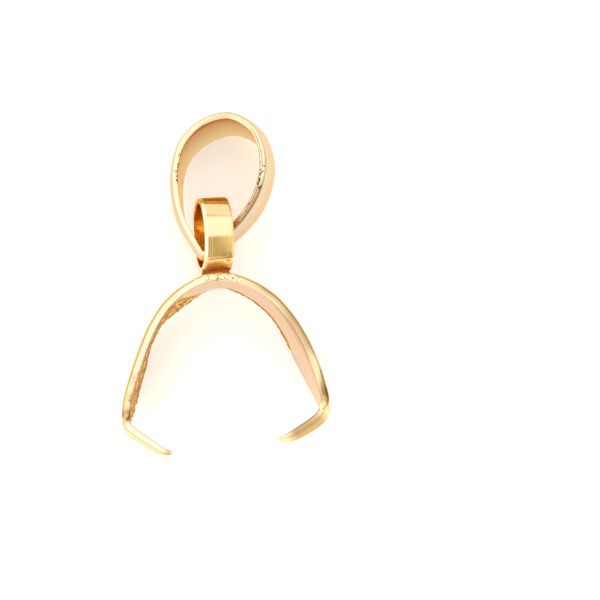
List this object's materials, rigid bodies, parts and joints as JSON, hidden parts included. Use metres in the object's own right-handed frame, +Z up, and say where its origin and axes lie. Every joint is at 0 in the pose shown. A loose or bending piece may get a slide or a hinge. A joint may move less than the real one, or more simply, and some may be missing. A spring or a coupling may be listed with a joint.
{
  "type": "pinch bail finding",
  "caption": "Pinch bail finding: a leaf shaped chain loop swings in a soldered ring on a springy arch whose inward prongs clip into a bead's drilled hole",
  "frame": {"origin": "centre of the bounding box's bottom face, on the surface that the bail lies on", "axes": "+X across the clip, +Y from the prongs to the top of the loop, +Z up from the surface"},
  "size_m": [0.009, 0.0152, 0.0034],
  "materials": {
    "gold_plate": "polished yellow gold plating on brass"
  },
  "bodies": {
    "clip": {"pinch_clip": "gold_plate"},
    "loop": {"bail_loop": "gold_plate"}
  },
  "joints": [
    {"name": "bail_swing", "type": "hinge", "parent": "clip", "child": "loop", "pos_m": [-0.00008, 0.00216, 0.0017], "axis": [0.9871, 0.0345, -0.1564], "range_deg": [-105, 125]}
  ]
}
